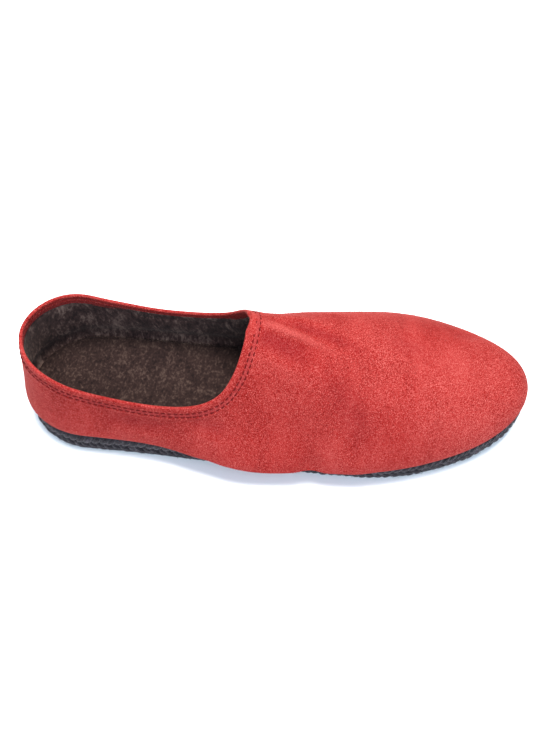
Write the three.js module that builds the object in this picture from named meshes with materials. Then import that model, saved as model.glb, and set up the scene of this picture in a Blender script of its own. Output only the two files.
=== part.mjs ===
// Espadrille loafer for the right foot: a red suede upper sewn on a plaited rope sole.
// Millimetres. +X runs to the toe, +Y to the inner side of the foot, +Z up from the floor.

import * as THREE from 'three';

// Driving dimensions
const SHOE_LENGTH = 254;      // rope sole, heel to toe
const BALL_WIDTH = 86;        // rope sole at its widest
const INSTEP_HEIGHT = 72;     // peak of the throat above the floor
const HEEL_HEIGHT = 58;       // back of the collar above the floor
const SIDE_HEIGHT = 43;       // lowest point of the collar above the floor
const WALL = 1.8;             // suede with its lining
const SOLE_AT_HEEL = 13.5;    // thickness of the rope under the heel
const SOLE_AT_BALL = 11;      // and under the ball of the foot
const ARCH_LIFT = 1.6;        // underside of the waist above the floor
const TOE_SPRING = 6;         // underside of the toe above the floor
const INSOLE_THICKNESS = 3;
const SEAT_GAP = 0.3;         // clearance between pieces that are sewn or laid together

// Rope sole
const TWISTS = 104;           // plaited strands round the side
const COLUMNS_PER_TWIST = 3;
const TWIST_DEPTH = 0.45;     // how far a strand stands out of the side
const FEATHER_INSET = 1.5;    // sewn lower edge of the upper, in from the side of the rope
const INSOLE_INSET = 4;       // edge of the insole, in from the side of the rope

// Roll of slack suede that hangs over the side of the rope
const ROLL_HEIGHT = 6;        // height of the roll's widest point above the sewn edge
const ROLL_SAG = 1 / 3;       // how far the roll sinks, as a share of its overhang

// Toe and heel rounding, as shares of the length
const HEEL_ROUND = 0.13;
const TOE_ROUND = 0.30;
const HEEL_DOME = 0.14;       // where the sections at the heel fan out from
const TOE_DOME = 0.80;        // where the sections at the toe fan out from
const TOE_LEAN = 2.4;         // how early the sections at the toe start to lean with the ridge
const FAN_SOFTNESS = 14;      // millimetres over which the fan sets in

// Flat spots of the underside, as shares of the length
const ARCH = { from: 0.30, to: 0.52 };
const SPRING_FROM = 0.74;

// Grid of the upper
const COLLAR_COLUMNS = 24;    // on each side, from the back of the heel to the throat's peak
const VAMP_COLUMNS = 22;      // on each side, from the throat's peak to the toe
const ROLL_ROWS = [0, 1, 2.6, 5, 8.5, 13];  // heights above the sewn edge
const WALL_ROWS = 13;
const POLE_REACH = 3;         // ridge points this close to the toe's end of the ridge become one
const SIDE_WALK = 290;        // length of one side of the outline
const FOOT_SPREAD = 0.8;      // how evenly the columns start from the sewn edge
const THROAT_FOOT = 0.49;     // sewn edge under the throat's peak, as a share of the length
const INSOLE_COLUMNS = 40;

// Fineness of the measuring
const TURN_STEP = 0.002;      // for the direction of the outline
const SLOPE_STEP = 0.01;      // for the slope of the ridge, as a share of the length
const ABOVE_ROLL = 0.1;       // rise that is past the roll
const HALVINGS = 40;          // of the range in which a height is looked for
const OUTLINE_SAMPLES = 600;  // on each side, for even spacing

// Plan of the last. Widths are half widths of the sole as shares of the ball width, and axis is the
// middle line, all from the straight line through the heel. The ends are rounded afterwards.
const PLAN = [
  { at: 0.00, lateral: 0.355, medial: 0.355, axis: 0.000 },
  { at: 0.13, lateral: 0.370, medial: 0.365, axis: 0.000 },
  { at: 0.28, lateral: 0.400, medial: 0.345, axis: 0.000 },
  { at: 0.42, lateral: 0.445, medial: 0.325, axis: 0.006 },
  { at: 0.56, lateral: 0.470, medial: 0.385, axis: 0.016 },
  { at: 0.70, lateral: 0.485, medial: 0.503, axis: 0.030 },
  { at: 0.85, lateral: 0.455, medial: 0.532, axis: 0.045 },
  { at: 1.00, lateral: 0.440, medial: 0.535, axis: 0.060 },
];

// Sections of the last. Ridge is the height of the section's top as a share of the instep height, and
// behind the throat it is where the open walls would meet. Fullness is the exponent of the section's
// curve: 2 is an ellipse, less is a tent. The rolls are the overhang of the slack suede in millimetres.
const SECTIONS = [
  { at: 0.000, ridge: 1.320, fullness: 2.50, lateralRoll: 2.6, medialRoll: 2.6 },
  { at: 0.150, ridge: 1.340, fullness: 2.50, lateralRoll: 2.8, medialRoll: 2.6 },
  { at: 0.300, ridge: 1.240, fullness: 2.30, lateralRoll: 5.0, medialRoll: 3.2 },
  { at: 0.455, ridge: 1.000, fullness: 1.75, lateralRoll: 10.9, medialRoll: 4.8 },
  { at: 0.550, ridge: 0.950, fullness: 1.85, lateralRoll: 8.6, medialRoll: 5.6 },
  { at: 0.650, ridge: 0.848, fullness: 2.00, lateralRoll: 6.5, medialRoll: 5.6 },
  { at: 0.750, ridge: 0.712, fullness: 2.10, lateralRoll: 4.2, medialRoll: 5.0 },
  { at: 0.850, ridge: 0.590, fullness: 2.15, lateralRoll: 3.0, medialRoll: 3.8 },
  { at: 1.000, ridge: 0.450, fullness: 2.10, lateralRoll: 2.6, medialRoll: 2.6 },
];

// Top edge of the upper seen from the side, from the back of the heel to the throat's peak.
const throatHeight = (share) => SIDE_HEIGHT + share * (INSTEP_HEIGHT - SIDE_HEIGHT);
const heelHeight = (share) => SIDE_HEIGHT + share * (HEEL_HEIGHT - SIDE_HEIGHT);
const TOPLINE = [
  { at: 0.000, height: heelHeight(1) },
  { at: 0.080, height: heelHeight(0.74) },
  { at: 0.180, height: heelHeight(0.25) },
  { at: 0.280, height: SIDE_HEIGHT },
  { at: 0.360, height: throatHeight(0.08) },
  { at: 0.404, height: throatHeight(0.26) },
  { at: 0.430, height: throatHeight(0.53) },
  { at: 0.445, height: throatHeight(0.79) },
  { at: 0.455, height: throatHeight(1) },
];

// Side of the rope from its lower to its upper edge: share of the thickness, distance out from the
// outline, and share of the twist's depth that shows there.
const ROPE_SIDE = [
  { rise: 0.00, out: -2.2, relief: 0.0 },
  { rise: 0.14, out: -0.6, relief: 0.8 },
  { rise: 0.38, out: 0.0, relief: 1.0 },
  { rise: 0.62, out: 0.0, relief: 1.0 },
  { rise: 0.86, out: -0.5, relief: 0.8 },
  { rise: 1.00, out: -1.7, relief: 0.0 },
];

const SUEDE = new THREE.MeshStandardMaterial({ color: 0xc9403c, roughness: 0.95, metalness: 0 });
const ROPE = new THREE.MeshStandardMaterial({ color: 0x1d2230, roughness: 0.9, metalness: 0 });
const LINING = new THREE.MeshStandardMaterial({ color: 0x2b2523, roughness: 0.95, metalness: 0 });

// Natural cubic spline through the rows of a table, as a function of the key column.
function spline(table, key, column) {
  const x = table.map((row) => row[key]);
  const y = table.map((row) => row[column]);
  const last = x.length - 1;
  const step = (i) => x[i + 1] - x[i];
  const bend = new Array(last + 1).fill(0);
  const lead = new Array(last + 1).fill(0);
  for (let i = 1; i < last; i += 1) {
    const jump = 6 * ((y[i + 1] - y[i]) / step(i) - (y[i] - y[i - 1]) / step(i - 1));
    const pivot = 2 * (step(i - 1) + step(i)) - step(i - 1) * lead[i - 1];
    lead[i] = step(i) / pivot;
    bend[i] = (jump - step(i - 1) * bend[i - 1]) / pivot;
  }
  for (let i = last - 1; i > 0; i -= 1) {
    bend[i] -= lead[i] * bend[i + 1];
  }
  return (at) => {
    let i = 0;
    while (i < last - 1 && at > x[i + 1]) i += 1;
    const h = step(i);
    const a = (x[i + 1] - at) / h;
    const b = (at - x[i]) / h;
    const curve = ((a ** 3 - a) * bend[i] + (b ** 3 - b) * bend[i + 1]) * (h * h) / 6;
    return a * y[i] + b * y[i + 1] + curve;
  };
}

const plan = {
  lateral: spline(PLAN, 'at', 'lateral'),
  medial: spline(PLAN, 'at', 'medial'),
  axis: spline(PLAN, 'at', 'axis'),
};
const section = {
  ridge: spline(SECTIONS, 'at', 'ridge'),
  fullness: spline(SECTIONS, 'at', 'fullness'),
  lateralRoll: spline(SECTIONS, 'at', 'lateralRoll'),
  medialRoll: spline(SECTIONS, 'at', 'medialRoll'),
};

const smooth = (x) => x * x * (3 - 2 * x);
const clamp01 = (x) => Math.min(1, Math.max(0, x));

// The sole's outline is walked once round by a turn from 0 to 2: 0 is the back of the heel, up to 1 the
// lateral side is followed to the toe, and from 1 to 2 the medial side back.
const shareAtTurn = (turn) => (1 - Math.cos(Math.PI * turn)) / 2;
const turnAtShare = (at) => Math.acos(1 - 2 * at) / Math.PI;

// Narrowing of the plan towards its round ends: 1 in between, 0 at heel and toe.
function endRound(at) {
  const heel = clamp01((HEEL_ROUND - at) / HEEL_ROUND);
  const toe = clamp01((at - 1 + TOE_ROUND) / TOE_ROUND);
  return Math.sqrt(Math.max(0, 1 - heel * heel)) * Math.sqrt(Math.max(0, 1 - toe * toe));
}

function outlinePoint(turn) {
  const at = shareAtTurn(turn);
  const onMedial = turn > 1 && turn < 2;
  const axis = plan.axis(at);
  const edge = onMedial ? plan.medial(at) : -plan.lateral(at);
  return new THREE.Vector2(at * SHOE_LENGTH, BALL_WIDTH * (axis + (edge - axis) * endRound(at)));
}

// Direction out of the outline at a turn.
function outlineNormal(turn) {
  const ahead = outlinePoint((turn + TURN_STEP) % 2);
  const behind = outlinePoint((turn - TURN_STEP + 2) % 2);
  const along = ahead.sub(behind).normalize();
  return new THREE.Vector2(along.y, -along.x);
}

const insetPoint = (turn, inset) => outlinePoint(turn).addScaledVector(outlineNormal(turn), -inset);

function soleLift(at) {
  const arch = clamp01((at - ARCH.from) / (ARCH.to - ARCH.from));
  const spring = clamp01((at - SPRING_FROM) / (1 - SPRING_FROM));
  return ARCH_LIFT * Math.sin(Math.PI * arch) ** 2 + TOE_SPRING * spring * spring;
}

function soleTop(at) {
  const taper = smooth(clamp01((at - ARCH.from) / (ARCH.to - ARCH.from)));
  return soleLift(at) + THREE.MathUtils.lerp(SOLE_AT_HEEL, SOLE_AT_BALL, taper);
}

// Smooth lesser and greater of two lengths.
const softMin = (a, b) => (a + b - Math.hypot(a - b, FAN_SOFTNESS)) / 2;
const softMax = (a, b) => (a + b + Math.hypot(a - b, FAN_SOFTNESS)) / 2;

// Top of the section that starts from the sewn edge at a turn.
function ridgePoint(turn) {
  const foot = shareAtTurn(turn) * SHOE_LENGTH;
  const x = softMax(softMin(foot, TOE_DOME * SHOE_LENGTH), HEEL_DOME * SHOE_LENGTH);
  const at = x / SHOE_LENGTH;
  return new THREE.Vector3(x, BALL_WIDTH * plan.axis(at), INSTEP_HEIGHT * section.ridge(at));
}

function ridgeSlope(at) {
  const climb = section.ridge(at + SLOPE_STEP) - section.ridge(at - SLOPE_STEP);
  return (INSTEP_HEIGHT * climb) / (2 * SLOPE_STEP * SHOE_LENGTH);
}

// Outside of the upper. Rise runs from 0 at the sewn edge to 1 at the ridge, along a superellipse from
// the edge to the ridge, with the slack roll added near the edge. Over the toe the section leans with
// the ridge, so that the ridge runs on smoothly into the toe.
function upperPoint(turn, rise) {
  const at = shareAtTurn(turn);
  const onMedial = turn > 1;
  const foot = insetPoint(turn, FEATHER_INSET);
  const footHeight = soleTop(at) + SEAT_GAP;
  const ridge = ridgePoint(turn);
  const power = 2 / section.fullness(ridge.x / SHOE_LENGTH);
  const angle = rise * Math.PI / 2;
  const inward = 1 - Math.max(0, Math.cos(angle)) ** power;
  const upward = Math.sin(angle) ** power;
  const climb = (ridge.z - footHeight) * upward;

  const overhang = onMedial ? section.medialRoll(at) : section.lateralRoll(at);
  const level = climb / ROLL_HEIGHT;
  const roll = level * Math.exp(1 - level);
  const out = outlineNormal(turn);
  const x = THREE.MathUtils.lerp(foot.x, ridge.x, inward);
  const y = THREE.MathUtils.lerp(foot.y, ridge.y, inward);
  const lean = ridgeSlope(ridge.x / SHOE_LENGTH) * Math.max(0, x - ridge.x) * upward ** TOE_LEAN;
  return new THREE.Vector3(
    x + out.x * overhang * roll,
    y + out.y * overhang * roll,
    footHeight + climb + lean - ROLL_SAG * overhang * roll ** 3,
  );
}

// Rise at which the section at a turn has climbed a height above its sewn edge, before it sags.
function riseAtClimb(turn, climb) {
  const ridge = ridgePoint(turn);
  const whole = ridge.z - soleTop(shareAtTurn(turn)) - SEAT_GAP;
  const power = 2 / section.fullness(ridge.x / SHOE_LENGTH);
  return Math.asin((climb / whole) ** (1 / power)) * 2 / Math.PI;
}

// Rise at which the section at a turn reaches a height above the floor.
function riseAtHeight(turn, height) {
  let low = ABOVE_ROLL;
  let high = 1;
  for (let i = 0; i < HALVINGS; i += 1) {
    const middle = (low + high) / 2;
    if (upperPoint(turn, middle).z < height) low = middle;
    else high = middle;
  }
  return high;
}

// Places along the top edge of one side, about evenly spaced, as turn and height.
function toplinePlaces(count) {
  const points = TOPLINE.map((row) => new THREE.Vector3(turnAtShare(row.at) * SIDE_WALK, 0, row.height));
  const curve = new THREE.CatmullRomCurve3(points, false, 'centripetal');
  return curve.getSpacedPoints(count).map((point) => ({ turn: point.x / SIDE_WALK, height: point.z }));
}

// Columns of one side of the upper, from the back of the heel to the toe. Each starts at the sewn edge
// and ends on the top edge, or past the throat's peak on the ridge.
function upperColumns() {
  const columns = [];
  const peakHead = turnAtShare(TOPLINE[TOPLINE.length - 1].at);
  const peakFoot = turnAtShare(THROAT_FOOT);
  toplinePlaces(COLLAR_COLUMNS).forEach((place, i) => {
    const atPeak = i === COLLAR_COLUMNS;
    const foot = THREE.MathUtils.lerp(place.turn, peakFoot * (i / COLLAR_COLUMNS), FOOT_SPREAD);
    columns.push({ foot: atPeak ? peakFoot : foot, head: place.turn, top: atPeak ? null : place.height });
  });
  for (let i = 1; i <= VAMP_COLUMNS; i += 1) {
    const share = i / VAMP_COLUMNS;
    columns.push({
      foot: THREE.MathUtils.lerp(peakFoot, 1, share),
      head: THREE.MathUtils.lerp(peakHead, 1, share),
      top: null,
    });
  }
  return columns;
}

// A closed shell: the outer surface, the same surface moved in by the wall, and a strip round each edge.
function thicken(points, faces, wall) {
  const surface = new THREE.BufferGeometry();
  surface.setAttribute('position', new THREE.Float32BufferAttribute(points.flatMap((p) => p.toArray()), 3));
  surface.setIndex(faces.flat());
  surface.computeVertexNormals();
  const normal = surface.getAttribute('normal');
  const count = points.length;
  const inner = points.map((p, i) => {
    const direction = new THREE.Vector3().fromBufferAttribute(normal, i);
    return p.clone().addScaledVector(direction, -wall);
  });
  const edges = new Map();
  faces.forEach((face) => {
    face.forEach((a, k) => {
      const b = face[(k + 1) % 3];
      if (edges.has(`${b},${a}`)) edges.delete(`${b},${a}`);
      else edges.set(`${a},${b}`, [a, b]);
    });
  });
  const shell = [...faces];
  faces.forEach(([a, b, c]) => shell.push([a + count, c + count, b + count]));
  edges.forEach(([a, b]) => shell.push([b, a, a + count], [b, a + count, b + count]));
  return solidGeometry([...points, ...inner], shell);
}

function solidGeometry(points, faces) {
  const geometry = new THREE.BufferGeometry();
  geometry.setAttribute('position', new THREE.Float32BufferAttribute(points.flatMap((p) => p.toArray()), 3));
  geometry.setIndex(faces.flat());
  geometry.computeVertexNormals();
  return geometry;
}

// Rise of a row: the lower rows follow the roll at fixed heights, the others share out the wall above.
function rowRise(turn, row, topRise) {
  const lastRoll = ROLL_ROWS.length - 1;
  if (row <= lastRoll) return riseAtClimb(turn, ROLL_ROWS[row]);
  const share = (row - lastRoll) / (WALL_ROWS - lastRoll);
  return THREE.MathUtils.lerp(riseAtClimb(turn, ROLL_ROWS[lastRoll]), topRise, share);
}

// The upper: both sides share the column at the heel, the column at the toe and the vamp's ridge.
function upperGeometry() {
  const columns = upperColumns();
  const points = [];
  const faces = [];
  const shared = new Map();
  const toePole = upperPoint(1, 1);
  const sideIndex = (side, column, row) => {
    const { foot, head, top } = columns[column];
    const atEnd = column === 0 || column === columns.length - 1;
    const onRidge = row === WALL_ROWS && top === null;
    const atPole = onRidge && ridgePoint(head).distanceTo(toePole) < POLE_REACH;
    const name = atPole ? 'pole' : `${atEnd || onRidge ? 'both' : side} ${column} ${row}`;
    if (!shared.has(name)) {
      const onSide = (turn) => (side === 'medial' && !atEnd ? 2 - turn : turn);
      const topRise = top === null ? 1 : riseAtHeight(onSide(head), top);
      const turn = onSide(THREE.MathUtils.lerp(foot, head, smooth(row / WALL_ROWS)));
      shared.set(name, points.length);
      points.push(atPole ? toePole : upperPoint(turn, rowRise(turn, row, topRise)));
    }
    return shared.get(name);
  };
  for (let column = 0; column < columns.length - 1; column += 1) {
    for (let row = 0; row < WALL_ROWS; row += 1) {
      for (const side of ['lateral', 'medial']) {
        const corners = [[0, 0], [1, 0], [1, 1], [0, 1]];
        const [a, b, c, d] = corners.map(([i, j]) => sideIndex(side, column + i, row + j));
        const quad = side === 'lateral' ? [[a, b, c], [a, c, d]] : [[a, c, b], [a, d, c]];
        faces.push(...quad.filter((face) => new Set(face).size === 3));
      }
    }
  }
  return thicken(points, faces, WALL);
}

// A closed slab between rings of points: the side is skinned from ring to ring, and the lowest and the
// highest ring are closed by strips from the lateral to the medial side.
function ringSolid(rings) {
  const around = rings[0].length;
  const half = around / 2;
  const points = rings.flat();
  const faces = [];
  rings.slice(1).forEach((ring, level) => {
    for (let i = 0; i < around; i += 1) {
      const next = (i + 1) % around;
      const low = level * around;
      const high = low + around;
      faces.push([low + i, low + next, high + next], [low + i, high + next, high + i]);
    }
  });
  const cap = (start, up) => {
    for (let i = 0; i < half; i += 1) {
      const [a, b] = [start + i, start + i + 1];
      const [c, d] = [start + (around - i - 1) % around, start + (around - i) % around];
      const strip = [[a, b, c], [a, c, d]].filter((face) => new Set(face).size === 3);
      faces.push(...strip.map(([p, q, r]) => (up ? [p, q, r] : [p, r, q])));
    }
  };
  cap(0, false);
  cap((rings.length - 1) * around, true);
  return solidGeometry(points, faces);
}

// Turns that divide the outline into equal lengths on each side.
function evenTurns(columnsPerSide) {
  const lengthsOfSide = (start) => {
    const lengths = [0];
    for (let i = 1; i <= OUTLINE_SAMPLES; i += 1) {
      const from = outlinePoint(start + (i - 1) / OUTLINE_SAMPLES);
      const to = outlinePoint(start + i / OUTLINE_SAMPLES);
      lengths.push(lengths[i - 1] + from.distanceTo(to));
    }
    return lengths;
  };
  const turns = [];
  for (const start of [0, 1]) {
    const lengths = lengthsOfSide(start);
    let i = 0;
    for (let column = 0; column < columnsPerSide; column += 1) {
      const target = lengths[OUTLINE_SAMPLES] * column / columnsPerSide;
      while (lengths[i + 1] < target) i += 1;
      const share = (target - lengths[i]) / (lengths[i + 1] - lengths[i]);
      turns.push(start + (i + share) / OUTLINE_SAMPLES);
    }
  }
  return turns;
}

// The rope sole: its side is a plait, whose strands lean forward below the middle and back above it.
function ropeSoleGeometry() {
  const turns = evenTurns(TWISTS * COLUMNS_PER_TWIST / 2);
  const rings = ROPE_SIDE.map(({ rise, out, relief }, row) => turns.map((turn, column) => {
    const at = shareAtTurn(turn);
    const fromMiddle = Math.abs(row - (ROPE_SIDE.length - 1) / 2);
    const phase = 2 * Math.PI * (column + fromMiddle) / COLUMNS_PER_TWIST;
    const place = insetPoint(turn, -out - TWIST_DEPTH * relief * Math.cos(phase));
    return new THREE.Vector3(place.x, place.y, THREE.MathUtils.lerp(soleLift(at), soleTop(at), rise));
  }));
  return ringSolid(rings);
}

function insoleGeometry() {
  const turns = evenTurns(INSOLE_COLUMNS);
  const rings = [0, INSOLE_THICKNESS].map((height) => turns.map((turn) => {
    const place = insetPoint(turn, INSOLE_INSET);
    return new THREE.Vector3(place.x, place.y, soleTop(shareAtTurn(turn)) + SEAT_GAP + height);
  }));
  return ringSolid(rings);
}

function piece(name, geometry, material) {
  const mesh = new THREE.Mesh(geometry, material);
  mesh.name = name;
  return mesh;
}

const shoe = new THREE.Group();
shoe.add(piece('upper', upperGeometry(), SUEDE));
shoe.add(piece('rope_sole', ropeSoleGeometry(), ROPE));
shoe.add(piece('insole', insoleGeometry(), LINING));

// The origin is on the floor, under the middle of the shoe's box.
const box = new THREE.Box3().setFromObject(shoe);
const middle = box.getCenter(new THREE.Vector3());
shoe.position.set(-middle.x, -middle.y, -box.min.z);

export default shoe;
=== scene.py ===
"""Espadrille loafer for the right foot: red suede on a plaited rope sole, with a dark pile lining.

Shapes are worked out in millimetres, with the back of the heel at x = 0 and the toe towards +X,
and are moved to the frame's own place and to metres when a mesh is made.
"""

import math
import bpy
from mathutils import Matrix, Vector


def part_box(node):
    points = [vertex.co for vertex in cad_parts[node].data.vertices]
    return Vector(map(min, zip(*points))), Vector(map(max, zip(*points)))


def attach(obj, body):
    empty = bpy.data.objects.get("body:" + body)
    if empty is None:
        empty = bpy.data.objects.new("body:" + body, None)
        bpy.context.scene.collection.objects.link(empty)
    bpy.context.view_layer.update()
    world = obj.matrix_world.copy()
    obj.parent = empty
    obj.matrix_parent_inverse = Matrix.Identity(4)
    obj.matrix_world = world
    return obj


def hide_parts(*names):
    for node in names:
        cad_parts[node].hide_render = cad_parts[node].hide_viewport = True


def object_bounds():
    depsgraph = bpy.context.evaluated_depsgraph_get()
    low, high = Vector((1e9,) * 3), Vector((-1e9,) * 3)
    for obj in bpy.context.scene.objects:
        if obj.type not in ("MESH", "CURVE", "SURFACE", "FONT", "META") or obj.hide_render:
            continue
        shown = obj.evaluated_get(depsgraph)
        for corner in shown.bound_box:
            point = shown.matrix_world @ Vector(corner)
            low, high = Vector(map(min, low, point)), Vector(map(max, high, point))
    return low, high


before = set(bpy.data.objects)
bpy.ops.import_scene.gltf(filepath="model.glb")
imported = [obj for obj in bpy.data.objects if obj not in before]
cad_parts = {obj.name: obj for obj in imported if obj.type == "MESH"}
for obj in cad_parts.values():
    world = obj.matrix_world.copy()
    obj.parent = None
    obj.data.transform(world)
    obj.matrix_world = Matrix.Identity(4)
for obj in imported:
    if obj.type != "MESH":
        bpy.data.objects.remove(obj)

from types import SimpleNamespace

import bpy
import numpy as np
from bpy.props import FloatProperty, FloatVectorProperty, IntProperty, PointerProperty
from mathutils import Matrix, Vector

bl_info = {
    "name": "Espadrille Loafer",
    "version": (1, 0, 0),
    "blender": (4, 5, 0),
    "location": "View3D > Sidebar > Loafer",
    "description": "Builds a suede espadrille loafer on a plaited rope sole",
    "category": "Add Mesh",
}

# A millimetre in metres, and the least length to divide by
MM = 0.001
TINY = 1e-9

# Frame: the body that all pieces ride on, and the boxes of the solids in metres
BODY = "root"
CAD_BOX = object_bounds()
INSOLE_LOW, INSOLE_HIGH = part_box("insole")
THROAT_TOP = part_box("upper")[1].z

# Last: the same named sizes and tables as the solids
SEAT_GAP = 0.3
FEATHER_INSET = 1.5
INSOLE_INSET = 4.0
ROLL_HEIGHT = 6.0
ROLL_SAG = 1 / 3
HEEL_ROUND = 0.13
TOE_ROUND = 0.30
HEEL_DOME = 0.14
TOE_DOME = 0.80
TOE_LEAN = 2.4
FAN_SOFTNESS = 14.0
ARCH_FROM = 0.30
ARCH_TO = 0.52
SPRING_FROM = 0.74
ROLL_ROWS = (0, 1, 2.6, 5, 8.5, 13)
WALL_ROWS = 13
POLE_REACH = 3.0
SIDE_WALK = 290.0
FOOT_SPREAD = 0.8
THROAT_FOOT = 0.49
TURN_STEP = 0.002
SLOPE_STEP = 0.01
ABOVE_ROLL = 0.1
HALVINGS = 40
CURVE_SAMPLES = 60
OUTLINE_SAMPLES = 1200
WELD = 1e-4

# Half widths of the sole and its middle line, as shares of the ball width
PLAN = {
    "at": (0.00, 0.13, 0.28, 0.42, 0.56, 0.70, 0.85, 1.00),
    "lateral": (0.355, 0.370, 0.400, 0.445, 0.470, 0.485, 0.455, 0.440),
    "medial": (0.355, 0.365, 0.345, 0.325, 0.385, 0.503, 0.532, 0.535),
    "axis": (0.000, 0.000, 0.000, 0.006, 0.016, 0.030, 0.045, 0.060),
}

# Ridge height as a share of the instep height, exponent of the section, overhang of the slack roll
SECTIONS = {
    "at": (0.000, 0.150, 0.300, 0.455, 0.550, 0.650, 0.750, 0.850, 1.000),
    "ridge": (1.320, 1.340, 1.240, 1.000, 0.950, 0.848, 0.712, 0.590, 0.450),
    "fullness": (2.50, 2.50, 2.30, 1.75, 1.85, 2.00, 2.10, 2.15, 2.10),
    "lateral_roll": (2.6, 2.8, 5.0, 10.9, 8.6, 6.5, 4.2, 3.0, 2.6),
    "medial_roll": (2.6, 2.6, 3.2, 4.8, 5.6, 5.6, 5.0, 3.8, 2.6),
}

# Top edge: place along the shoe, and height as shares from the side up to the heel and to the throat
TOPLINE = {
    "at": (0.000, 0.080, 0.180, 0.280, 0.360, 0.404, 0.430, 0.445, 0.455),
    "to_heel": (1.00, 0.74, 0.25, 0.00, 0.00, 0.00, 0.00, 0.00, 0.00),
    "to_throat": (0.00, 0.00, 0.00, 0.00, 0.08, 0.26, 0.53, 0.79, 1.00),
}

# Creases: the view they are placed in, start, bend and end there, depth (a ridge is negative), half width
CREASES = (
    ("top", (98, 2.2), (124, 2.6), (166, -15), -0.80, 2.0),
    ("top", (124, 5), (147, -1), (177, -8), 0.70, 2.8),
    ("top", (108, -5), (128, -7), (149, -17), 0.95, 4.0),
    ("top", (121, 13), (134, 10), (152, 13), 0.45, 3.5),
    ("top", (146, 15), (155, 16), (166, 18), -0.35, 2.0),
    ("top", (146, -14), (164, -32), (180, -42), 0.50, 7.0),
    ("top", (176, 6), (190, 2), (206, 5), 0.35, 6.0),
    ("top", (213, 20), (220, 24), (233, 27), 0.45, 3.0),
    ("lateral", (84, 40), (96, 35), (112, 34), 0.5, 4.0),
    ("lateral", (38, 36), (62, 30), (90, 33), 0.6, 5.0),
    ("medial", (96, 41), (112, 34), (136, 32), 0.7, 4.0),
    ("medial", (40, 36), (64, 29), (90, 33), 0.6, 5.0),
)

# Views of the creases: the two axes that they are placed on, and the direction that the skin faces there
CREASE_VIEWS = {"top": ((0, 1), (0, 0, 1)), "lateral": ((0, 2), (0, -1, 0)), "medial": ((0, 2), (0, 1, 0))}

# Folds across the slack roll: place along the shoe, side, depth (a bulge is negative) and half width
PUCKERS = (
    (96, -1, 0.5, 5.0),
    (146, -1, 2.2, 5.0),
    (169, -1, -0.6, 7.0),
    (132, 1, 0.7, 6.0),
    (163, 1, 0.9, 5.0),
)

# Nap lighter or darker seen from above, partly worn and partly painted light and painted shade, such as the
# painted shade below the ridge of the first crease: middle, radius and how much lighter (darker is negative)
WORN_AND_PAINTED_LIGHT = (
    ((230, -14), 32, 0.08),
    ((236, 4), 11, 0.05),
    ((238, -26), 13, 0.06),
    ((206, -21), 13, 0.05),
    ((178, -9), 12, 0.08),
    ((176, 3), 12, 0.05),
    ((140, -25), 15, 0.06),
    ((142, -10), 10, -0.09),
    ((138, -41), 16, -0.07),
    ((187, -36), 8, -0.07),
    ((208, 27), 19, -0.14),
)

# Relief of the skin, in millimetres unless a share
CREASE_SAMPLES = 160
CREASE_REACH = 3.2
CREASE_FADE = 2.4
CREASE_TURN = 2.0
SHOULDER = 0.3
SHOULDER_AT = 1.9
SHOULDER_STEEP = 2.0
PUCKER_HEIGHT = 8.0
PUCKER_SIDE = 12.0
HEM_RISE = 0.35
HEM_REST = 1.2
HEM_STIFF = 2.5
HEM_FADE = 6.0
GROOVE_WIDTH = 0.8
GROOVE_DEPTH = 0.3
EDGE_SAMPLES = 900
LIP_ROWS = 6
SKIVED = 0.2
SKIVE_REACH = 8.0
EDGE_FROM = 2.0
EDGE_HEIGHT = 9.0
EDGE_TONE = 0.02

# Slow waves of slack suede: height, millimetres to a radian with the start of two, and of a slanted one
SLACK = 0.12
SLACK_ALONG = (15.0, 0.6)
SLACK_ACROSS = (12.0, 0.9)
SLACK_SLANT = (9.0, 14.0)

# Grids of the upper and the lining: columns behind and before the throat's peak, and rows
UPPER_GRID = (110, 140, 72)
LINING_GRID = (84, 80, 40)

# Lining: distance below the top edge, and its share of the roll's overhang
LINING_INSET = 2.4
LINING_SLACK = 0.55

# Stitches: how much of the pitch is thread, and its lift and sunk ends as shares of its thickness
STITCH_STATIONS = 9
STITCH_ROUNDS = 8
STITCH_SHARE = 0.8
STITCH_LIFT = 0.12
STITCH_SUNK = 0.3

# Plait: direction from the middle of the side and shift in pitches of its rows, and their strands
PLAIT_ROWS = ((1, 0.0), (-1, 0.5))
STRAND_STATIONS = 15
STRAND_ROUNDS = 12
STRAND_REACH = 1.35
STRAND_TO = 0.43
STRAND_OUT = 0.4
STRAND_SINK = 1.2
STRAND_FLATNESS = 0.5
STRAND_TAPER = 0.3
STRAND_LOBES = 3
LOBE_DEPTH = 0.09
LOBE_TWIST = 5.0
EDGE_ROUND = 2.0

# Chance in the strands: place in pitches, distance out in millimetres, width as a share
PLACE_CHANCE = 0.09
OUT_CHANCE = 0.12
WIDTH_CHANCE = 0.10

# Core of the sole with its coils: strands to a coil's width, their slant and height
CORE_INSET = 0.9
CORE_ROUND = 1.0
CORE_GRID = (220, 60)
CORE_UNDER = 4.0
COIL_WIDTH = 9.5
COIL_DEPTH = 1.1
COIL_STRIDE = 4
COIL_STRANDS = 1.6
COIL_SLANT = 0.8
COIL_STRAND = 0.22

# Loose fibres and raised nap: spans that chance chooses from
FIBRE_STATIONS = 9
FIBRE_ROUNDS = 3
FIBRE_LENGTH = (1.5, 5.0)
FIBRE_SLANT = (-1.2, 1.2)
FIBRE_BOW = (1.0, 1.7)
FIBRE_RISE = (0.12, 0.95)
NAP_LENGTH = (0.25, 0.75)
NAP_LEAN = 0.6
NAP_ROOT = 0.1

# Insole: columns and rows, edge inside the outline, rounding of the edge, depth of the dish
INSOLE_GRID = (150, 40)
INSOLE_EDGE = 2.5
INSOLE_ROUND = 0.8
INSOLE_DISH = 0.8
CORNER_POINTS = 5

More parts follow.
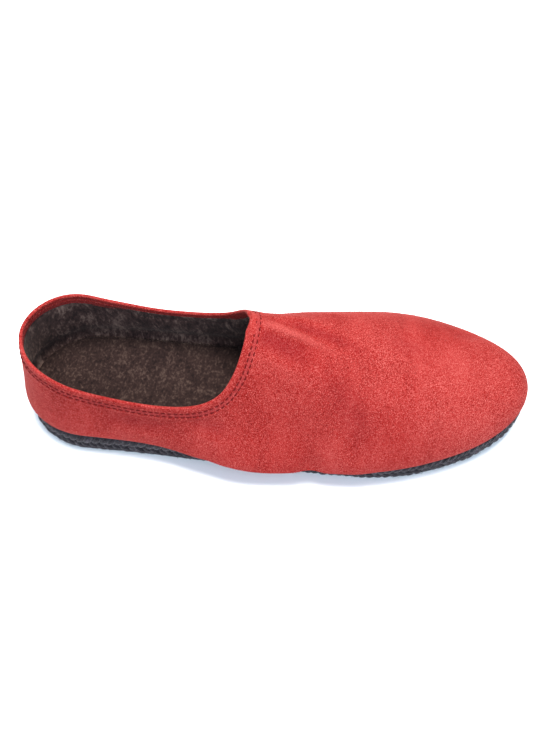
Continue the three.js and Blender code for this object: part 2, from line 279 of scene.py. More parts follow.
# Finishes: shares by which a tone, tint or height takes part
GRAIN_WEIGHT = 0.85
TUFT_SCALE = 0.5
PATCH_CALM = 1.5
PLY_HEIGHT = 0.18
YARN_STRETCH = (2.5, 3.0)
# Painted shade in the creases and a painted highlight on their ridges: their shares
CREASE_SHADE = 0.50
RIDGE_LIGHT = 0.26
# Painted sheen where the surface is seen edge-on: its power and share
RIM_POWER = 4.0
RIM_SHARE = 0.6
HEM_SHARE = 0.5
ROPE_SHARE = 0.6
LINING_MOTTLE = 1.7
INSOLE_MOTTLE = 0.7
# Share of the lining's colours for the insole, the same cloth: the lining's wall is painted lighter against
# the shade inside the shoe
INSOLE_SHADE = 0.34
THREAD_SHADE = 0.5
FLOOR_SHADE = 0.985

# Colour sockets of a Mix node: two inputs and its output
FIRST_TINT, SECOND_TINT, MIXED_TINT = 6, 7, 2

# Stage: soft lights with their place and width in metres, and a pale sky
SENSOR_WIDTH = 36
LIGHTS = (
    {"name": "key", "place": (0.06, 0.10, 1.30), "width": 0.6, "watts": 42.0, "colour": (1.0, 0.98, 0.94)},
    {"name": "fill", "place": (0.15, -0.95, 0.85), "width": 1.2, "watts": 14.0, "colour": (0.70, 0.84, 1.0)},
)
SKY = {"colour": (0.74, 0.86, 1.0), "strength": 0.65}


def smooth(x):
    """Eases from 0 to 1: 3 x squared minus 2 x cubed, held at both ends."""
    x = np.clip(x, 0, 1)
    return x * x * (3 - 2 * x)


def lerp(a, b, share):
    """The value a share of the way from a to b."""
    return a + (b - a) * share


def bell(x):
    """A hump of height 1: e to the minus x squared."""
    return np.exp(-x ** 2)


def blunt(x):
    """Thickness of a thread that ends bluntly at -1 and 1: the root of 1 minus the fourth power."""
    return np.sqrt(np.maximum(0, 1 - x ** 4))


def unit(vectors):
    """Vectors divided by their lengths."""
    length = np.linalg.norm(vectors, axis=-1, keepdims=True)
    return vectors / np.maximum(length, TINY)


def spline(at, value):
    """Natural cubic spline through the points (at, value), as a function of an array."""
    at = np.array(at, float)
    value = np.array(value, float)
    gap = np.diff(at)
    inner = np.arange(1, len(at) - 1)
    matrix = np.eye(len(at))
    matrix[inner, inner - 1] = gap[:-1]
    matrix[inner, inner] = 2 * (gap[:-1] + gap[1:])
    matrix[inner, inner + 1] = gap[1:]
    right = np.zeros(len(at))
    right[inner] = 6 * np.diff(np.diff(value) / gap)
    bend = np.linalg.solve(matrix, right)

    def curve(x):
        """Value at places x: a cubic between the two points round each."""
        i = np.clip(np.searchsorted(at, x) - 1, 0, len(gap) - 1)
        a = (at[i + 1] - x) / gap[i]
        b = (x - at[i]) / gap[i]
        sag = (a ** 3 - a) * bend[i] + (b ** 3 - b) * bend[i + 1]
        return a * value[i] + b * value[i + 1] + sag * gap[i] ** 2 / 6

    return curve


def splines(table):
    """A spline for each named row of a table over its places."""
    return {name: spline(table["at"], row) for name, row in table.items() if name != "at"}


def walked(points):
    """Length along a polyline from its first point to each point."""
    step = np.linalg.norm(np.diff(points, axis=0), axis=1)
    return np.concatenate([[0], np.cumsum(step)])


def read_rows(place, walk, rows):
    """Rows at places along a walk, read straight between the given rows."""
    return np.stack([np.interp(place, walk, column) for column in rows.T], axis=-1)


def resample(points, count):
    """count + 1 points at equal steps along a polyline."""
    walk = walked(points)
    return read_rows(np.linspace(0, walk[-1], count + 1), walk, points)


def even_curve(points, count):
    """count + 1 evenly spaced points of the centripetal Catmull-Rom curve through the points.

    Each span is a cubic with end slopes from the neighbouring points, knots a root of the distance apart.
    """
    p = np.vstack([2 * points[0] - points[1], points, 2 * points[-1] - points[-2]])
    knot = np.sqrt(np.linalg.norm(np.diff(p, axis=0), axis=1))[:, None]
    p0, p1, p2, p3 = p[:-3], p[1:-2], p[2:-1], p[3:]
    k0, k1, k2 = knot[:-2], knot[1:-1], knot[2:]
    start = k1 * ((p1 - p0) / k0 - (p2 - p0) / (k0 + k1) + (p2 - p1) / k1)
    end = k1 * ((p2 - p1) / k1 - (p3 - p1) / (k1 + k2) + (p3 - p2) / k2)
    t = np.linspace(0, 1, CURVE_SAMPLES, endpoint=False)[None, :, None]
    p1, p2, start, end = p1[:, None], p2[:, None], start[:, None], end[:, None]
    spans = p1 + start * t + (3 * (p2 - p1) - 2 * start - end) * t ** 2
    spans = spans + (2 * (p1 - p2) + start + end) * t ** 3
    return resample(np.vstack([spans.reshape(-1, points.shape[1]), points[-1:]]), count)


def numbered(points):
    """Vertex numbers of a grid of points, or of several grids at once."""
    return np.arange(points[..., 0].size).reshape(points.shape[:-1])


def grid_faces(index):
    """Two triangles for each cell of a grid of vertex numbers, or of several grids at once."""
    a, b = index[..., :-1, :-1], index[..., 1:, :-1]
    c, d = index[..., 1:, 1:], index[..., :-1, 1:]
    halves = [np.stack([a, b, c], axis=-1), np.stack([a, c, d], axis=-1)]
    return np.concatenate([half.reshape(-1, 3) for half in halves])


def weld(points, faces):
    """Joins points that coincide, and drops faces that lose a corner by it."""
    keys = np.round(points / WELD).astype(np.int64)
    _, first, joined = np.unique(keys, axis=0, return_index=True, return_inverse=True)
    joined = joined.reshape(-1)
    faces = joined[faces]
    whole = (faces != np.roll(faces, 1, axis=1)).all(axis=1)
    return points[first], faces[whole], joined, whole


def vertex_normals(points, faces):
    """Mean of the normals of the faces round each vertex, weighted by their areas."""
    a, b, c = points[faces].transpose(1, 0, 2)
    normal = np.cross(b - a, c - a)
    total = np.zeros(points.shape)
    for corner in faces.T:
        for axis in range(3):
            total[:, axis] += np.bincount(corner, normal[:, axis], len(points))
    return unit(total)


def distance_to(points, line):
    """Distance of each point to the nearest point of a fine line."""
    square = (points ** 2).sum(axis=1)[:, None] + (line ** 2).sum(axis=1) - 2 * points @ line.T
    return np.sqrt(np.maximum(square, 0).min(axis=1))


def share_at(turn):
    """Place along the shoe at a turn, from 0 to 1: half of 1 minus the cosine of pi times the turn."""
    return (1 - np.cos(np.pi * turn)) / 2


def turn_at(share):
    """Turn on the lateral side at a place along the shoe: the cosine undone."""
    return np.arccos(1 - 2 * np.asarray(share, float)) / np.pi


class Last:
    """Surfaces of the shoe in millimetres.

    The outline is walked by a turn from 0 to 2: 0 is the back of the heel, the lateral side is
    followed to the toe at 1, and the medial side back.
    """

    def __init__(self, sizes, slack=1.0):
        self.slack = slack
        self.length = sizes.length
        self.ball = sizes.ball_width
        self.instep = sizes.instep_height
        self.heel = sizes.heel_height
        self.side = sizes.side_height
        self.sole_at_heel = sizes.sole_at_heel
        self.sole_at_ball = sizes.sole_at_ball
        self.arch_lift = sizes.arch_lift
        self.toe_spring = sizes.toe_spring
        self.plan = splines(PLAN)
        self.section = splines(SECTIONS)
        edge = self.inset(np.linspace(0, 2, OUTLINE_SAMPLES), INSOLE_INSET)
        self.shift = np.array([INSOLE_LOW.x / MM - INSOLE_INSET, INSOLE_HIGH.y / MM - edge[:, 1].max(), 0.0])

    def place(self, points):
        """Moves points from the last's own place to the frame's, in metres."""
        return (points + self.shift) * MM

    def outline(self, turn):
        """Edge of the sole in plan: the plan's half width, rounded off to nothing at heel and toe."""
        turn = np.mod(turn, 2)
        at = share_at(turn)
        heel = np.clip((HEEL_ROUND - at) / HEEL_ROUND, 0, 1)
        toe = np.clip((at - 1 + TOE_ROUND) / TOE_ROUND, 0, 1)
        end = np.sqrt(np.maximum(0, 1 - heel ** 2) * np.maximum(0, 1 - toe ** 2))
        axis = self.plan["axis"](at)
        edge = np.where(turn > 1, self.plan["medial"](at), -self.plan["lateral"](at))
        return np.stack([at * self.length, self.ball * lerp(axis, edge, end)], axis=-1)

    def outward(self, turn):
        """Direction out of the outline, square to it."""
        along = unit(self.outline(turn + TURN_STEP) - self.outline(turn - TURN_STEP))
        return np.stack([along[..., 1], -along[..., 0]], axis=-1)

    def inset(self, turn, inset):
        """The outline drawn in by an inset, square to it."""
        return self.outline(turn) - np.asarray(inset)[..., None] * self.outward(turn)

    def lift(self, at):
        """Underside of the sole: a sine hump under the arch, a parabola up to the toe."""
        arch = np.clip((at - ARCH_FROM) / (ARCH_TO - ARCH_FROM), 0, 1)
        spring = np.clip((at - SPRING_FROM) / (1 - SPRING_FROM), 0, 1)
        return self.arch_lift * np.sin(np.pi * arch) ** 2 + self.toe_spring * spring ** 2

    def top(self, at):
        """Upper face of the rope: the underside plus a thickness that eases from heel to ball."""
        taper = smooth((at - ARCH_FROM) / (ARCH_TO - ARCH_FROM))
        return self.lift(at) + lerp(self.sole_at_heel, self.sole_at_ball, taper)

    def above_sole(self, points):
        """Height of points above the rope's upper face."""
        return points[:, 2] - self.top(np.clip(points[:, 0] / self.length, 0, 1))

    def ridge(self, turn):
        """Top of the section from a turn: it follows the foot, but stays between the two domes."""
        foot = share_at(turn) * self.length
        toe = TOE_DOME * self.length
        heel = HEEL_DOME * self.length
        x = (foot + toe - np.hypot(foot - toe, FAN_SOFTNESS)) / 2
        x = (x + heel + np.hypot(x - heel, FAN_SOFTNESS)) / 2
        at = x / self.length
        return x, self.ball * self.plan["axis"](at), self.instep * self.section["ridge"](at), at

    def upper(self, turn, rise):
        """Outside of the upper: a superellipse from the sewn edge (rise 0) to the ridge (rise 1).

        Near the edge a roll of slack suede is added, level times e to the 1 - level, and towards the
        toe the section leans with the ridge.
        """
        at = share_at(turn)
        foot = self.inset(turn, FEATHER_INSET)
        base = self.top(at) + SEAT_GAP
        x, y, z, ridge_at = self.ridge(turn)
        power = 2 / self.section["fullness"](ridge_at)
        angle = rise * np.pi / 2
        inward = 1 - np.maximum(0, np.cos(angle)) ** power
        upward = np.sin(angle) ** power
        climb = (z - base) * upward
        ridge = self.section["ridge"]
        slope = self.instep * (ridge(ridge_at + SLOPE_STEP) - ridge(ridge_at - SLOPE_STEP))
        slope = slope / (2 * SLOPE_STEP * self.length)
        overhang = np.where(turn > 1, self.section["medial_roll"](at), self.section["lateral_roll"](at))
        overhang = overhang * self.slack
        level = climb / ROLL_HEIGHT
        roll = level * np.exp(1 - level)
        out = self.outward(turn)
        across_x = lerp(foot[..., 0], x, inward)
        across_y = lerp(foot[..., 1], y, inward)
        lean = slope * np.maximum(0, across_x - x) * upward ** TOE_LEAN
        return np.stack([
            across_x + out[..., 0] * overhang * roll,
            across_y + out[..., 1] * overhang * roll,
            base + climb + lean - ROLL_SAG * overhang * roll ** 3,
        ], axis=-1)

    def rise_at_climb(self, turn, climb):
        """Rise at which a section has climbed a height above its sewn edge: the superellipse undone."""
        _, _, z, ridge_at = self.ridge(turn)
        whole = z - self.top(share_at(turn)) - SEAT_GAP
        power = 2 / self.section["fullness"](ridge_at)
        return np.arcsin((climb / whole) ** (1 / power)) * 2 / np.pi

    def rise_at_height(self, turn, height):
        """Rise at which a section reaches a height above the floor, by halving the range."""
        low = np.full(turn.shape, ABOVE_ROLL)
        high = np.ones(turn.shape)
        for _ in range(HALVINGS):
            middle = (low + high) / 2
            below = self.upper(turn, middle)[..., 2] < height
            low = np.where(below, middle, low)
            high = np.where(below, high, middle)
        return high

    def topline(self, inset):
        """Points of the top edge in side view, moved square to the edge into the wall by an inset."""
        at = np.array(TOPLINE["at"])
        height = self.side + np.array(TOPLINE["to_heel"]) * (self.heel - self.side)
        height = height + np.array(TOPLINE["to_throat"]) * (self.instep - self.side)
        along = unit(np.column_stack([np.gradient(at * self.length), np.gradient(height)]))
        at = np.maximum(0, at + along[:, 1] * inset / self.length)
        at[0] = 0
        return at, height - along[:, 0] * inset

    def skin_grid(self, collar_columns, vamp_columns, rows, inset):
        """Points of the upper's outside as an array of side, column, row and coordinate.

        Columns run from the back of the heel to the toe. Up to the throat's peak they end on the top
        edge, past it on the ridge, where the two sides share their points.
        """
        at, height = self.topline(inset)
        places = even_curve(np.column_stack([turn_at(at) * SIDE_WALK, height]), collar_columns)
        head = places[:, 0] / SIDE_WALK
        peak_foot = turn_at(THROAT_FOOT)
        foot = lerp(head, peak_foot * np.linspace(0, 1, collar_columns + 1), FOOT_SPREAD)
        foot[-1] = peak_foot
        share = np.arange(1, vamp_columns + 1) / vamp_columns
        foot = np.concatenate([foot, lerp(peak_foot, 1, share)])
        head = np.concatenate([head, lerp(head[-1], 1, share)])
        row = np.linspace(0, 1, rows + 1)
        turn = lerp(foot[:, None], head[:, None], smooth(row))
        head, height = head[:collar_columns], places[:collar_columns, 1]
        lateral = self.side_points(turn, head, height, row)
        medial = self.side_points(2 - turn, 2 - head, height, row)
        points = np.stack([lateral, medial])
        points[1, 0] = points[0, 0]
        points[1, -1] = points[0, -1]
        points[1, collar_columns:, -1] = points[0, collar_columns:, -1]
        near = np.linalg.norm(points[0, :, -1] - points[0, -1, -1], axis=-1) < POLE_REACH
        near[:collar_columns] = False
        points[:, near, -1] = points[0, -1, -1]
        return points

    def side_points(self, turn, head, height, row):
        """One side of the skin: low rows follow the roll at fixed heights, the others share the wall."""
        top = np.ones(len(turn))
        top[:len(head)] = self.rise_at_height(head, height)
        last_roll = len(ROLL_ROWS) - 1
        place = row * WALL_ROWS
        low = self.rise_at_climb(turn, np.interp(place, np.arange(last_roll + 1), ROLL_ROWS))
        share = np.clip((place - last_roll) / (WALL_ROWS - last_roll), 0, 1)
        return self.upper(turn, lerp(low, top[:, None], share))


def crease_relief(points, normals):
    """Soft troughs and ridges: minus a depth times a bell across a bent line, faded at the line's ends.

    A lower bell of the other sign on both sides stands for the suede that the crease pushes up.
    """
    relief = np.zeros(len(points))
    t = np.linspace(0, 1, CREASE_SAMPLES)[:, None]
    for view, *bends, depth, width in CREASES:
        axes, facing = CREASE_VIEWS[view]
        start, bend, end = np.array(bends, float)
        line = (1 - t) ** 2 * start + 2 * t * (1 - t) * bend + t ** 2 * end
        flat = points[:, axes]
        towards = normals @ np.array(facing)
        reach = CREASE_REACH * width
        near = ((flat > line.min(axis=0) - reach) & (flat < line.max(axis=0) + reach)).all(axis=1)
        near &= towards > 0
        square = ((flat[near, None] - line) ** 2).sum(axis=-1)
        along = t[square.argmin(axis=1), 0]
        across = np.sqrt(square.min(axis=1)) / width
        section = bell(across) - SHOULDER * np.exp(-SHOULDER_STEEP * (across - SHOULDER_AT) ** 2)
        fade = smooth(np.minimum(along, 1 - along) * CREASE_FADE)
        fade = fade * smooth(CREASE_TURN * towards[near])
        relief[near] -= depth * section * fade
    return relief


def pucker_relief(points, height):
    """Folds across the slack roll: a bell along the shoe times a bell in height above the sewn edge."""
    on_roll = bell((height - ROLL_HEIGHT) / PUCKER_HEIGHT)
    relief = np.zeros(len(points))
    for at, side, depth, width in PUCKERS:
        on_side = smooth(points[:, 1] * side / PUCKER_SIDE)
        relief -= depth * bell((points[:, 0] - at) / width) * on_roll * on_side
    return relief


def slack_relief(points):
    """Slow unevenness of soft suede: a sine along the shoe times one across it, plus a slanted sine."""
    x, y, z = points.T
    along = np.sin(x / SLACK_ALONG[0] + SLACK_ALONG[1])
    across = np.sin((y + z) / SLACK_ACROSS[0] + SLACK_ACROSS[1])
    slanted = np.sin(x / SLACK_SLANT[0] - y / SLACK_SLANT[1])
    return SLACK * (along * across + slanted)


def worn_and_painted_tone(points, height):
    """How much lighter the nap is, partly worn and partly painted light and shade: soft bells seen from
    above, and a band along the sewn edge.
    """
    tone = EDGE_TONE * (1 - smooth((height - EDGE_FROM) / EDGE_HEIGHT))
    for middle, radius, lighter in WORN_AND_PAINTED_LIGHT:
        square = ((points[:, :2] - np.array(middle)) ** 2).sum(axis=1)
        tone += lighter * np.exp(-square / radius ** 2)
    return tone


def hem_relief(below, sizes):
    """Turned hem: a raised band along the top edge, drawn in along its two rows of stitches."""
    band = HEM_RISE * (1 - smooth((below - sizes.second_row - HEM_REST) / HEM_REST))
    rows = sum(bell((below - row) / GROOVE_WIDTH) for row in (sizes.first_row, sizes.second_row))
    return band - GROOVE_DEPTH * rows


class Skin:
    """Outside of the upper as a welded mesh with its creases, folds and hem."""

    def __init__(self, last, sizes, counts, inset=0.0):
        collar = counts[0]
        grid = last.skin_grid(*counts, inset)
        index = numbered(grid)
        faces = np.vstack([grid_faces(index[0]), grid_faces(index[1])[:, ::-1]])
        points, self.faces, joined, _ = weld(grid.reshape(-1, 3), faces)
        self.index = joined[index]
        lateral, medial = self.index
        self.top_loop = np.concatenate([lateral[collar::-1, -1], medial[1:collar, -1]])
        self.foot_loop = np.concatenate([lateral[:, 0], medial[-2:0:-1, 0]])
        self.crest = lateral[collar:, -1]
        edge = points[np.append(self.top_loop, self.top_loop[0])]
        self.below = inset + distance_to(points, resample(edge, EDGE_SAMPLES))
        self.height = last.above_sole(points)
        self.thin = lerp(SKIVED, 1, smooth((self.height - ROLL_HEIGHT) / SKIVE_REACH))
        normals = vertex_normals(points, self.faces)
        # The crease relief, kept also as the mask of the painted shade in the creases and the painted
        # highlight on their ridges
        self.sunk = crease_relief(points, normals) * smooth((self.below - HEM_STIFF) / HEM_FADE)
        relief = self.sunk + pucker_relief(points, self.height) + slack_relief(points)
        relief = relief + hem_relief(self.below, sizes)
        self.points = points + normals * relief[:, None]
        self.normals = vertex_normals(self.points, self.faces)

    def shell(self, start, wall):
        """Closed shell from a depth under the skin to a wall further in, thinned where the roll folds.

        A half-round lip runs along the top edge and a flat strip along the sewn edge. With the points
        and faces goes the skin's vertex that each point comes from.
        """
        count = len(self.points)
        wall = wall * self.thin
        outer = self.points - self.normals * (start * self.thin)[:, None]
        inner = outer - self.normals * wall[:, None]
        loop = self.top_loop
        along = np.roll(outer[loop], -1, axis=0) - np.roll(outer[loop], 1, axis=0)
        up = unit(np.cross(along, self.normals[loop]))[:, None]
        angle = (np.pi * np.arange(1, LIP_ROWS) / LIP_ROWS)[None, :, None]
        turned = self.normals[loop][:, None] * (np.cos(angle) - 1) + up * np.sin(angle)
        lip = outer[loop][:, None] + turned * wall[loop][:, None, None] / 2
        strip = np.column_stack([loop, 2 * count + numbered(lip), loop + count])
        foot = np.append(self.foot_loop, self.foot_loop[0])
        faces = [
            self.faces,
            self.faces[:, ::-1] + count,
            grid_faces(np.vstack([strip, strip[:1]]))[:, ::-1],
            grid_faces(np.column_stack([foot, foot + count]))[:, ::-1],
        ]
        source = np.concatenate([np.arange(count), np.arange(count), np.repeat(loop, LIP_ROWS - 1)])
        return np.vstack([outer, inner, lip.reshape(-1, 3)]), np.vstack(faces), source

    def seam_line(self, distance):
        """Closed line at a distance below the top edge, with its normals: the skin's own level line."""
        inside = self.below[self.index] < distance
        row = np.maximum(inside.argmax(axis=2), 1)
        found = inside.any(axis=2)
        skin = np.hstack([self.points, self.normals])
        sides = []
        for side in range(2):
            column = np.flatnonzero(found[side])
            high = self.index[side, column, row[side, column]]
            low = self.index[side, column, row[side, column] - 1]
            share = (self.below[low] - distance) / (self.below[low] - self.below[high])
            line = lerp(skin[low], skin[high], share[:, None])
            sides.append(np.hstack([line[:, :3], unit(line[:, 3:])]))
        lateral, medial = sides
        peak = read_rows(distance, self.below[self.crest], skin[self.crest])
        return np.vstack([peak, lateral[::-1], medial[1:], peak])


def tubes(centre, out, half_width, half_height, rounds, lobes=0):
    """Many tubes at once: an ellipse at each station of each line, its height along a given direction.

    The half sizes go to nothing at both ends, so each tube closes in a point. Lobes are twisted yarns.
    """
    along = unit(np.gradient(centre, axis=1))
    side = unit(np.cross(out, along))
    high = np.cross(along, side)
    share = np.arange(rounds + 1) / rounds
    angle = 2 * np.pi * share[:, None]
    station = np.linspace(0, 1, centre.shape[1])
    depth = LOBE_DEPTH if lobes else 0
    swell = 1 + depth * np.cos(lobes * angle[:, 0] + LOBE_TWIST * station[:, None])
    width = half_width[..., None, None] * swell[..., None] * np.cos(angle)
    height = half_height[..., None, None] * swell[..., None] * np.sin(angle)
    ring = centre[:, :, None] + width * side[:, :, None] + height * high[:, :, None]
    ring[:, :, -1] = ring[:, :, 0]
    uv = np.stack(np.broadcast_arrays(station[:, None], share), axis=-1)
    uv = np.broadcast_to(uv, ring.shape[:3] + (2,)).reshape(-1, 2)
    return ring.reshape(-1, 3), grid_faces(numbered(ring))[:, ::-1], uv


def slab(lateral, medial, low, high, radius, columns):
    """Closed slab between two edges in plan and two heights: at each station a box with rounded corners.

    The section is a straight run under and over the box, joined by quarter circles of the radius.
    """
    run = np.linspace(-1, 1, columns)
    corner = np.ones(2 * CORNER_POINTS)
    quarter = np.linspace(0, np.pi / 2, CORNER_POINTS)
    half_turn = np.concatenate([quarter - np.pi / 2, quarter])
    down = np.full(columns, -np.pi / 2)
    across = np.concatenate([run, corner, -run, -corner, run[:1]])
    angle = np.concatenate([down, half_turn, -down, half_turn + np.pi, down[:1]])
    counts = [columns + CORNER_POINTS, columns + 2 * CORNER_POINTS, CORNER_POINTS, 1]
    on_top = np.repeat([0, 1, 0, 0], counts)
    half = np.linalg.norm(lateral - medial, axis=-1)[:, None] / 2
    radius = np.minimum(np.minimum(radius, half), (high - low)[:, None] / 2)
    out = across * (half - radius) + radius * np.cos(angle)
    plan = ((lateral + medial) / 2)[:, None] + unit(lateral - medial)[:, None] * out[..., None]
    height = lerp(low[:, None] + radius, high[:, None] - radius, on_top) + radius * np.sin(angle)
    points = np.concatenate([plan, height[..., None]], axis=-1)
    return points, grid_faces(numbered(points))


class Walk:
    """The sole's outline measured by its length, from the back of the heel round to it again."""

    def __init__(self, last):
        self.turns = np.linspace(0, 2, OUTLINE_SAMPLES + 1)
        self.line = last.outline(self.turns)
        self.length = walked(self.line)
        self.whole = self.length[-1]

    def turn(self, length):
        """Turn of the outline after a length."""
        return np.interp(np.mod(length, self.whole), self.length, self.turns)


def side_point(last, turn, height, out):
    """A point on the side of the sole: out from the outline, at a share of the rope's thickness."""
    at = share_at(turn)
    normal = last.outward(turn)
    plan = last.outline(turn) + normal * out[..., None]
    z = lerp(last.lift(at), last.top(at), height)
    flat = np.concatenate([normal, np.zeros(normal.shape[:-1] + (1,))], axis=-1)
    return np.concatenate([plan, z[..., None]], axis=-1), flat


def edge_round(height):
    """How far the rope's side draws in towards its lower and upper edge: a fourth power."""
    return -EDGE_ROUND * (2 * np.abs(height - 0.5)) ** 4


def plait_strands(last, sizes, chance):
    """Strands of the plait: two rows round the side that lean against each other from edge to middle.

    A strand's line runs straight from the middle of the side towards an edge and bows out by a half sine.
    """
    walk = Walk(last)
    count = sizes.strands
    pitch = walk.whole / count
    t = np.linspace(0, 1, STRAND_STATIONS)
    swell = np.maximum(0, np.sin(np.pi * t)) ** STRAND_TAPER
    swell[[0, -1]] = 0
    centres, outs, widths = [], [], []
    for up, shift in PLAIT_ROWS:
        start = (np.arange(count) + shift + chance.normal(0, PLACE_CHANCE, count)) * pitch
        length = start[:, None] + pitch * STRAND_REACH * (t - 0.5)
        height = np.broadcast_to(0.5 + up * STRAND_TO * t, length.shape)
        out = STRAND_OUT * np.sin(np.pi * t) - STRAND_SINK + edge_round(height)
        out = out + chance.normal(0, OUT_CHANCE, count)[:, None]
        centre, normal = side_point(last, walk.turn(length), height, out)
        centres.append(centre)
        outs.append(normal)
        widths.append(swell * (1 + chance.normal(0, WIDTH_CHANCE, count))[:, None])
    width = np.vstack(widths) * sizes.strand_width / 2
    points, faces, uv = tubes(
        np.vstack(centres), np.vstack(outs), width, STRAND_FLATNESS * width, STRAND_ROUNDS, STRAND_LOBES,
    )
    points[:, 2] = np.maximum(points[:, 2], 0)
    return points, faces, uv


def coil_relief(last, points):
    """Underside of the coiled plait: grooves between the coils, and slanted strands on each coil.

    A groove is the fourth power of the distance from a coil's middle, a strand a cosine along it.
    """
    walk = Walk(last)
    square = ((points[:, None, :2] - walk.line[None, ::COIL_STRIDE]) ** 2).sum(axis=-1)
    inward = np.sqrt(square.min(axis=1)) / COIL_WIDTH
    along = walk.length[::COIL_STRIDE][square.argmin(axis=1)]
    across = np.abs(np.mod(inward, 1) - 0.5) * 2
    strand = np.cos(2 * np.pi * (along / COIL_WIDTH * COIL_STRANDS + across * COIL_SLANT))
    return COIL_DEPTH * (across ** 4 + COIL_STRAND * (1 + strand))


def rope_core(last):
    """Body of the sole inside the plait, a rounded slab with the coils on its underside."""
    turn = np.linspace(0, 1, CORE_GRID[0] + 1)
    at = share_at(turn)
    low, high = last.lift(at), last.top(at)
    lateral, medial = last.inset(turn, CORE_INSET), last.inset(2 - turn, CORE_INSET)
    points, faces = slab(lateral, medial, low, high + SEAT_GAP, CORE_ROUND, CORE_GRID[1])
    flat = points.reshape(-1, 3)
    middle = np.repeat((low + high) / 2, points.shape[1])
    under = smooth((middle - flat[:, 2]) / CORE_UNDER)
    flat[:, 2] += under * coil_relief(last, flat)
    return flat, faces


def stray_fibres(last, sizes, chance):
    """Loose fibres of the rope: thin tubes with both ends in the plait, bowed out by a half sine."""
    walk = Walk(last)
    t = np.linspace(0, 1, FIBRE_STATIONS)
    spans = ((0, walk.whole), FIBRE_LENGTH, FIBRE_SLANT, FIBRE_BOW, FIBRE_RISE)
    start, length, slant, bow, rise = (chance.uniform(*span, (sizes.fibres, 1)) for span in spans)
    along = start + length * np.cos(slant) * t
    height = np.clip(rise + length * np.sin(slant) * t / sizes.sole_at_heel, *FIBRE_RISE)
    out = bow * np.sin(np.pi * t) - STRAND_SINK + edge_round(height)
    centre, normal = side_point(last, walk.turn(along), height, out)
    half = np.broadcast_to(sizes.fibre_width / 2 * blunt(2 * t - 1), along.shape)
    return tubes(centre, normal, half, half, FIBRE_ROUNDS)


def stitch_row(skin, distance, sizes):
    """A row of stitches: short threads laid along a level line under the top edge, ends in the suede.

    A stitch rises out of the suede by a parabola along it.
    """
    line = skin.seam_line(distance)
    walk = walked(line[:, :3])
    count = int(round(walk[-1] / sizes.stitch_pitch))
    t = np.linspace(-0.5, 0.5, STITCH_STATIONS)
    place = (np.arange(count)[:, None] + 0.5 + STITCH_SHARE * t) * walk[-1] / count
    row = read_rows(place, walk, line)
    centre, out = row[..., :3], unit(row[..., 3:])
    half = np.broadcast_to(sizes.thread / 2 * blunt(2 * t), place.shape)
    lift = sizes.thread * (STITCH_LIFT + STITCH_SUNK) * (1 - (2 * t) ** 2) - STITCH_SUNK * sizes.thread
    return tubes(centre + lift[:, None] * out, out, half, half, STITCH_ROUNDS)


def raised_nap(skin, sizes, chance):
    """Raised nap: thin three-sided spikes rooted at random in the skin's triangles, leaning at random.

    A root is a weighted mean of a triangle's corners, and triangles are chosen by their areas.
    """
    count = sizes.hairs
    corners = skin.points[skin.faces]
    area = np.linalg.norm(np.cross(corners[:, 1] - corners[:, 0], corners[:, 2] - corners[:, 0]), axis=1)
    face = chance.choice(len(area), count, p=area / area.sum())
    weight = chance.dirichlet((1, 1, 1), count)[..., None]
    root = (corners[face] * weight).sum(axis=1)
    normal = unit((skin.normals[skin.faces[face]] * weight).sum(axis=1))
    lean = unit(normal + chance.normal(0, NAP_LEAN, (count, 3)))
    tip = root + lean * chance.uniform(*NAP_LENGTH, (count, 1))
    side = unit(np.cross(normal, chance.normal(0, 1, (count, 3))))
    angle = (2 * np.pi * np.arange(3) / 3)[:, None]
    ring = side[:, None] * np.cos(angle) + np.cross(normal, side)[:, None] * np.sin(angle)
    ring = (root - normal * NAP_ROOT)[:, None] + ring * sizes.hair_width / 2
    points = np.concatenate([ring, tip[:, None]], axis=1)
    spike = np.array([(0, 1, 3), (1, 2, 3), (2, 0, 3), (0, 2, 1)])
    faces = spike + 4 * np.arange(count)[:, None, None]
    return points.reshape(-1, 3), faces.reshape(-1, 3)


def insole_form(last, sizes):
    """Insole: a rounded slab inside the upper, dished a little under the foot by a half sine along it."""
    turn = np.linspace(0, 1, INSOLE_GRID[0] + 1)
    at = share_at(turn)
    low = last.top(at) + SEAT_GAP
    high = low + sizes.insole
    lateral, medial = last.inset(turn, INSOLE_EDGE), last.inset(2 - turn, INSOLE_EDGE)
    points, faces = slab(lateral, medial, low, high, INSOLE_ROUND, INSOLE_GRID[1])
    middle = (lateral + medial)[:, None] / 2
    half = np.linalg.norm(medial - lateral, axis=-1)[:, None] / 2
    across = np.linalg.norm(points[..., :2] - middle, axis=-1) / np.maximum(half, TINY)
    on_top = smooth(points[..., 2] - lerp(low, high, 0.5)[:, None])
    points[..., 2] -= INSOLE_DISH * on_top * (1 - smooth(across)) * np.sin(np.pi * at)[:, None]
    return points.reshape(-1, 3), faces


def colour4(colour):
    """A colour with full cover as its fourth value."""
    return (*colour, 1.0)


def shaded(colour, share):
    """A colour darkened to a share of its light."""
    return tuple(share * channel for channel in colour)


